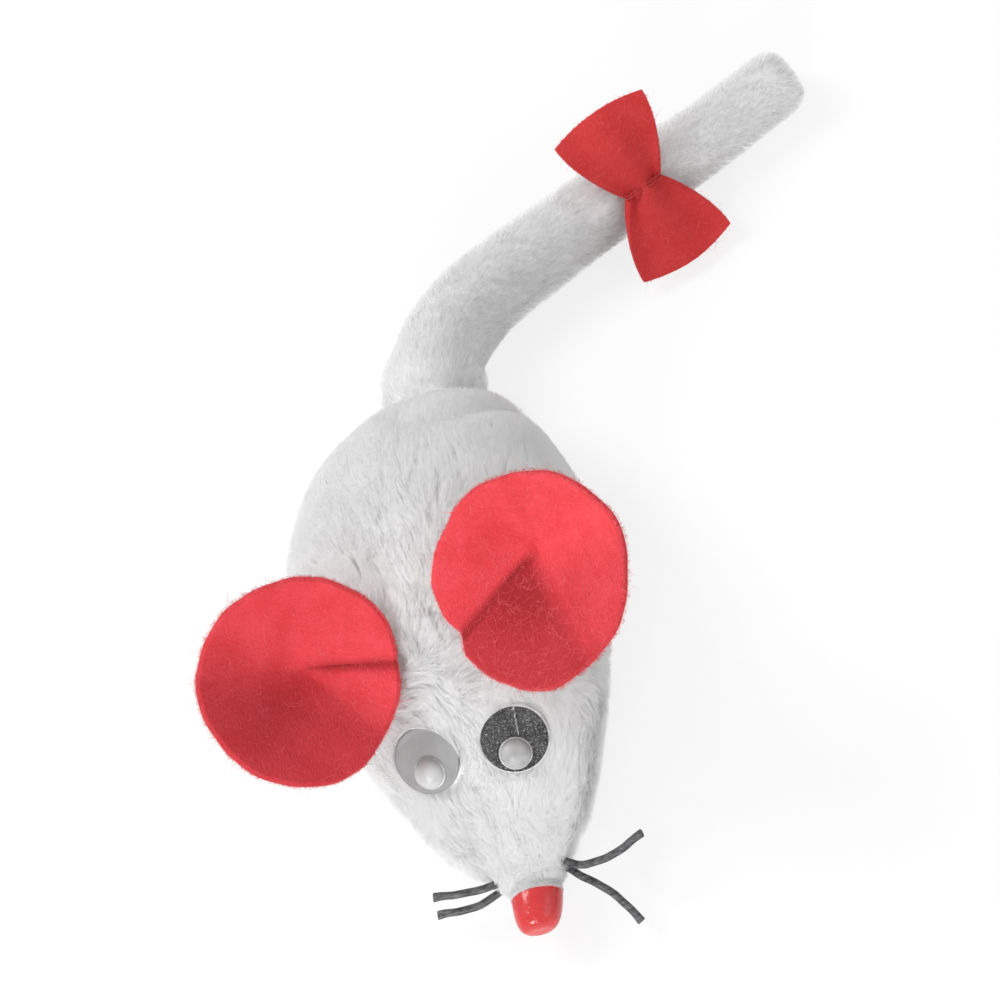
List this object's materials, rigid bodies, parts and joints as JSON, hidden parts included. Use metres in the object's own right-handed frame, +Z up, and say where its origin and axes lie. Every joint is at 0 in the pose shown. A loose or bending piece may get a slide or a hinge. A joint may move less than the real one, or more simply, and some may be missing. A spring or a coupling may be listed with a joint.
{
  "type": "catnip mouse",
  "caption": "Stuffed plush toy mouse with felt ears that flap, a felt bow on its swinging tail, disc eyes, a moulded nose, cord whiskers and a pouch of catnip inside.",
  "frame": {"origin": "on the flat that the belly rests on, halfway along the body from nose base to tail seam's end", "axes": "+Z up, the nose points along -Y, the mouse's left side is +X"},
  "size_m": [0.1172, 0.1553, 0.0649],
  "materials": {
    "plush": "short curly white pile",
    "stuffing": "loose white fibre",
    "pouch_cloth": "thin plain cloth",
    "catnip_leaf": "dried crumbled leaf",
    "white_thread": "twisted thread",
    "red_thread": "twisted thread",
    "red_felt": "matt felt with fine loose fibres",
    "eye_foil": "crackled foil",
    "eye_bead": "pearly, glossy",
    "nose_plastic": "glossy",
    "whisker_cord": "waxed flat cord"
  },
  "bodies": {
    "body": {"belly_panel": "plush", "back_panel_left": "plush", "back_panel_right": "plush", "stuffing_front": "stuffing", "stuffing_rear": "stuffing", "catnip_pouch": "pouch_cloth", "dried_catnip": "catnip_leaf", "pouch_tie_thread": "white_thread", "ear_tack_left": "red_thread", "ear_tack_right": "red_thread", "eye_disc_left": "eye_foil", "eye_disc_right": "eye_foil", "eye_bead_left": "eye_bead", "eye_bead_right": "eye_bead", "nose": "nose_plastic", "whisker_cord_upper": "whisker_cord", "whisker_cord_lower": "whisker_cord"},
    "ear_left": {"ear_left": "red_felt"},
    "ear_right": {"ear_right": "red_felt"},
    "tail_seam": {"tail_seam_thread": "white_thread"},
    "tail": {"tail_sleeve": "plush", "tail_stuffing": "stuffing", "bow_felt": "red_felt", "bow_thread": "red_thread"}
  },
  "joints": [
    {"name": "ear_left_flap", "type": "hinge", "parent": "body", "child": "ear_left", "pos_m": [0.00567, -0.01795, 0.04415], "axis": [-0.2338, 0.8572, 0.4589], "range_deg": [-30, 30], "stiffness_Nm_per_rad": 0.01},
    {"name": "ear_right_flap", "type": "hinge", "parent": "body", "child": "ear_right", "pos_m": [-0.00566, -0.02063, 0.04272], "axis": [-0.2338, -0.8572, -0.4589], "range_deg": [-30, 30], "stiffness_Nm_per_rad": 0.01},
    {"name": "tail_swing", "type": "hinge", "parent": "body", "child": "tail_seam", "pos_m": [0.0008, 0.0425, 0.00998], "axis": [0, 0, 1], "range_deg": [-25, 25], "stiffness_Nm_per_rad": 0.02},
    {"name": "tail_lift", "type": "hinge", "parent": "tail_seam", "child": "tail", "pos_m": [0.0008, 0.0425, 0.00998], "axis": [0.9781, -0.208, 0], "range_deg": [0, 30], "stiffness_Nm_per_rad": 0.01}
  ]
}
